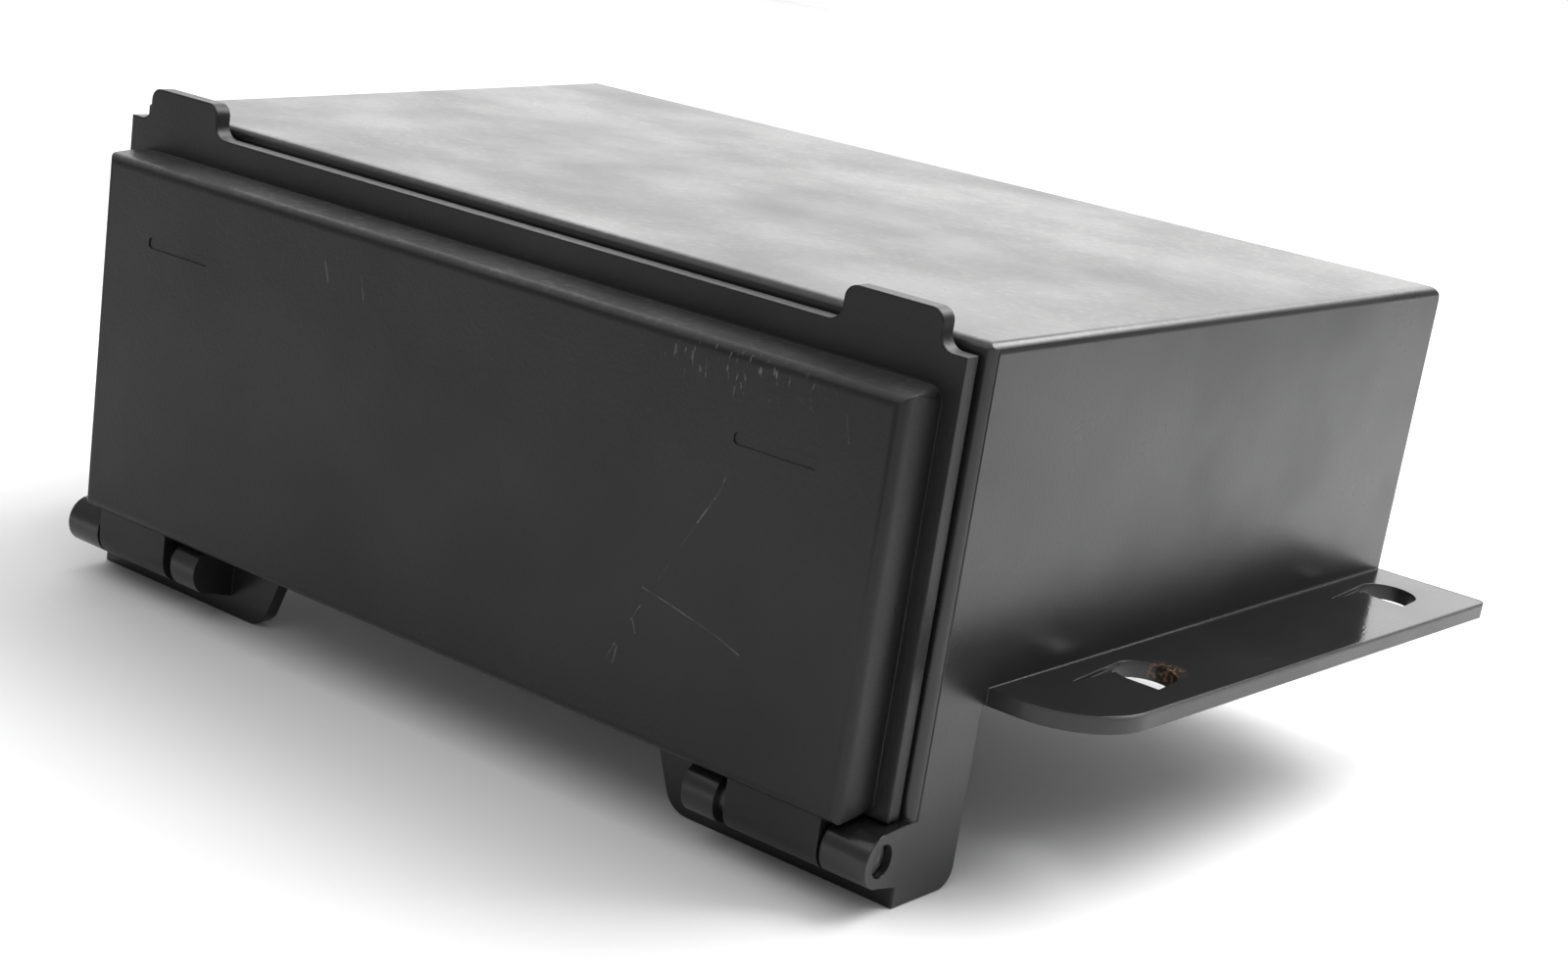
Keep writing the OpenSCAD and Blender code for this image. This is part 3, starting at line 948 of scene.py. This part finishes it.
@dataclass
class FloorScrews:
    """The countersunk screws, with a cross recess in each head and threads on each shank."""

    recess_depth: float = 1.4 * MM
    recess_width: float = 0.9 * MM
    recess_reach: float = 2.1 * MM
    head_edge: float = 0.15 * MM
    countersink: float = 1.9 * MM
    thread_pitch: float = 1.2 * MM
    thread_depth: float = 0.3 * MM
    thread_run: float = 0.35 * MM
    plain_tip: float = 2 * MM
    turn_steps: int = 24
    finish: PlatedSteel = field(default_factory=lambda: PlatedSteel(
        "screw_steel", colour=(0.62, 0.62, 0.6), roughness=0.3))

    def build(self) -> list[bpy.types.Object]:
        """Builds one screw at each of the node's places, joined as one piece.

        Returns:
            The joined screws, in a list of one.
        """
        screws = bmesh.new()
        for low, high in self._places():
            one = self._screw(low, high)
            held = bpy.data.meshes.new("screw_part")
            one.to_mesh(held)
            one.free()
            screws.from_mesh(held)
            bpy.data.meshes.remove(held)
        piece = new_piece("floor_screws_threaded", screws, "housing", self.finish)
        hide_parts("floor_screws")
        return [piece]

    @staticmethod
    def _places() -> list[tuple[Vector, Vector]]:
        """Finds the separate solids in the node.

        Returns:
            The lowest and highest corner of each screw.
        """
        mesh = bmesh.new()
        mesh.from_mesh(frame["nodes"]["floor_screws"].data)
        bmesh.ops.remove_doubles(mesh, verts=mesh.verts, dist=WELD_DISTANCE)
        unseen = set(mesh.verts)
        boxes = []
        while unseen:
            queue = [unseen.pop()]
            island = []
            while queue:
                vert = queue.pop()
                island.append(vert.co.copy())
                linked = {edge.other_vert(vert) for edge in vert.link_edges} & unseen
                unseen -= linked
                queue += linked
            low = Vector([min(point[axis] for point in island) for axis in range(3)])
            high = Vector([max(point[axis] for point in island) for axis in range(3)])
            boxes.append((low, high))
        mesh.free()
        return sorted(boxes, key=lambda pair: tuple(pair[0]))

    def _screw(self, low: Vector, high: Vector) -> bmesh.types.BMesh:
        """Turns one screw and sinks the cross recess into its head.

        Args:
            low: Lowest corner of the screw's box.
            high: Its highest corner.

        Returns:
            The screw's bmesh, head down.
        """
        head = (high.x - low.x) / 2
        length = high.z - low.z
        shank = head - self.countersink
        root = shank - self.thread_depth
        base = Vector(((low.x + high.x) / 2, (low.y + high.y) / 2, low.z))
        profile = [(0.0, 0.0), (0.0, head - self.head_edge), (self.head_edge, head), (head - shank, shank)]
        height = head - shank + self.thread_pitch
        while height < length - self.plain_tip:
            profile += [(height - self.thread_run, root), (height, shank)]
            height += self.thread_pitch
        profile += [(length - shank, root), (length, 0.0)]
        mesh = lathe(profile, base, Vector((0, 0, 1)), self.turn_steps)
        self._sink_recess(mesh, base)
        return mesh

    def _sink_recess(self, mesh: bmesh.types.BMesh, base: Vector) -> None:
        """Cuts the head's flat along the cross's sides and pushes the cross in.

        Args:
            mesh: The screw's bmesh.
            base: Middle of the head's flat.
        """
        half = self.recess_width / 2
        for axis in (Vector((1, 0, 0)), Vector((0, 1, 0))):
            for offset in (-self.recess_reach, -half, half, self.recess_reach):
                flats = [f for f in mesh.faces if abs(f.calc_center_median().z - base.z) < FLAT_SLACK]
                geom = list({part for flat in flats for part in (*flat.verts, *flat.edges, flat)})
                bmesh.ops.bisect_plane(
                    mesh, geom=geom, dist=1e-7, plane_co=base + axis * offset, plane_no=axis)
        cross = []
        for face in mesh.faces:
            place = face.calc_center_median() - base
            across, along = sorted((abs(place.x), abs(place.y)))
            if abs(place.z) < FLAT_SLACK and along < self.recess_reach and across < half:
                cross.append(face)
        grown = bmesh.ops.extrude_face_region(mesh, geom=cross, use_keep_orig=False)
        pushed = [part for part in grown["geom"] if isinstance(part, bmesh.types.BMVert)]
        bmesh.ops.translate(mesh, verts=pushed, vec=(0, 0, self.recess_depth))
        bmesh.ops.delete(mesh, geom=[face for face in cross if face.is_valid], context="FACES")
        bmesh.ops.recalc_face_normals(mesh, faces=mesh.faces)


# ---------------------------------------------------------------- studio


@dataclass(frozen=True)
class SoftBox:
    """A large soft lamp that looks at the object."""

    name: str
    azimuth_deg: float
    elevation_deg: float
    distance: float
    size: tuple[float, float]
    power: float

    def build(self, target: Vector) -> None:
        """Hangs the lamp at its angle and turns it to the target.

        Args:
            target: The point that it looks at.
        """
        direction = toward(self.azimuth_deg, self.elevation_deg)
        data = bpy.data.lights.new(self.name, "AREA")
        data.shape = "RECTANGLE"
        data.size, data.size_y = self.size
        data.energy = self.power
        lamp = bpy.data.objects.new(self.name, data)
        lamp.location = target + direction * self.distance
        lamp.rotation_euler = (-direction).to_track_quat("-Z", "Y").to_euler()
        lamp.visible_camera = False
        bpy.context.scene.collection.objects.link(lamp)


@dataclass
class Studio:
    """Pale floor, soft lamps, sky and the camera."""

    azimuth_deg: float = 33.566
    elevation_deg: float = 15.699
    roll_deg: float = 8.688
    distance: float = 0.74806
    aim_offset: Point = (0.01939, 0.00943, -0.01933)
    lens_mm: float = 55.11
    sensor_mm: float = 36.0
    shift: tuple[float, float] = (0.0014, -0.0021)
    nearest_seen: float = 10 * MM
    floor_half: float = 2.1
    floor_gap: float = 0.2 * MM
    sky_seen: float = 1.0
    sky_lighting: float = 0.35
    lamps: tuple[SoftBox, ...] = (
        SoftBox("backdrop_panel", 213, 24, 2.6, (5.0, 1.6), 44.0),
        SoftBox("top_panel", 150, 68, 2.2, (2.6, 2.6), 34.0),
        SoftBox("rear_right_panel", 146, 52, 1.1, (0.8, 0.8), 13.0),
        SoftBox("front_fill", -20, 55, 2.4, (2.4, 1.6), 13.0),
    )

    def build(self, low: Vector, high: Vector) -> None:
        """Sets up everything around the object.

        Args:
            low: Lowest corner of the object's box.
            high: Highest corner of the object's box.
        """
        centre = (low + high) / 2
        self._floor(low.z)
        for lamp in self.lamps:
            lamp.build(centre)
        self._sky()
        self._camera(centre)

    def _floor(self, height: float) -> None:
        """Lays the floor just under the object.

        Args:
            height: Height of the object's lowest point.
        """
        mesh = bmesh.new()
        bmesh.ops.create_grid(mesh, x_segments=1, y_segments=1, size=self.floor_half)
        bmesh.ops.translate(mesh, verts=mesh.verts, vec=(0, 0, height - self.floor_gap))
        data = bpy.data.meshes.new("studio_floor")
        mesh.to_mesh(data)
        mesh.free()
        data.materials.append(PaleFloor().build())
        floor = bpy.data.objects.new("studio_floor", data)
        bpy.context.scene.collection.objects.link(floor)
        floor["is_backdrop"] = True

    def _sky(self) -> None:
        """Hangs a sky that is white to look at and dimmer as a source of light."""
        world = bpy.data.worlds.new("studio_sky")
        world.use_nodes = True
        tree = world.node_tree
        tree.nodes.clear()
        seen = tree.nodes.new("ShaderNodeBackground")
        seen.inputs["Strength"].default_value = self.sky_seen
        light = tree.nodes.new("ShaderNodeBackground")
        light.inputs["Strength"].default_value = self.sky_lighting
        for shade in (seen, light):
            shade.inputs["Color"].default_value = (1, 1, 1, 1)
        path = tree.nodes.new("ShaderNodeLightPath")
        mix = tree.nodes.new("ShaderNodeMixShader")
        output = tree.nodes.new("ShaderNodeOutputWorld")
        tree.links.new(path.outputs["Is Camera Ray"], mix.inputs["Fac"])
        tree.links.new(light.outputs["Background"], mix.inputs[1])
        tree.links.new(seen.outputs["Background"], mix.inputs[2])
        tree.links.new(mix.outputs["Shader"], output.inputs["Surface"])
        bpy.context.scene.world = world
        bpy.context.scene.view_settings.view_transform = "Standard"

    def _camera(self, centre: Vector) -> None:
        """Puts the camera at its angle, leaning by its roll.

        Args:
            centre: Middle of the object's box.
        """
        data = bpy.data.cameras.new("camera")
        data.lens = self.lens_mm
        data.sensor_width = self.sensor_mm
        data.shift_x, data.shift_y = self.shift
        data.clip_start = self.nearest_seen
        camera = bpy.data.objects.new("camera", data)
        back = toward(self.azimuth_deg, self.elevation_deg)
        stand = Matrix.Translation(centre + Vector(self.aim_offset) + back * self.distance)
        turn = (-back).to_track_quat("-Z", "Y").to_matrix().to_4x4()
        roll = Matrix.Rotation(math.radians(self.roll_deg), 4, "Z")
        camera.matrix_world = stand @ turn @ roll
        bpy.context.scene.collection.objects.link(camera)
        bpy.context.scene.camera = camera


def main() -> None:
    logging.basicConfig(level=logging.INFO, format="%(name)s %(message)s")
    cad_low, cad_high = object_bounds()
    for assembly in (Housing(), Door(), FloorPanel(), MouthSeal(), HingePins(), FloorScrews()):
        for piece in assembly.build():
            LOG.info("%s: %d faces in %s", piece.name, len(piece.data.polygons), piece.active_material.name)
    Studio().build(cad_low, cad_high)


if __name__ == "__main__":
    main()
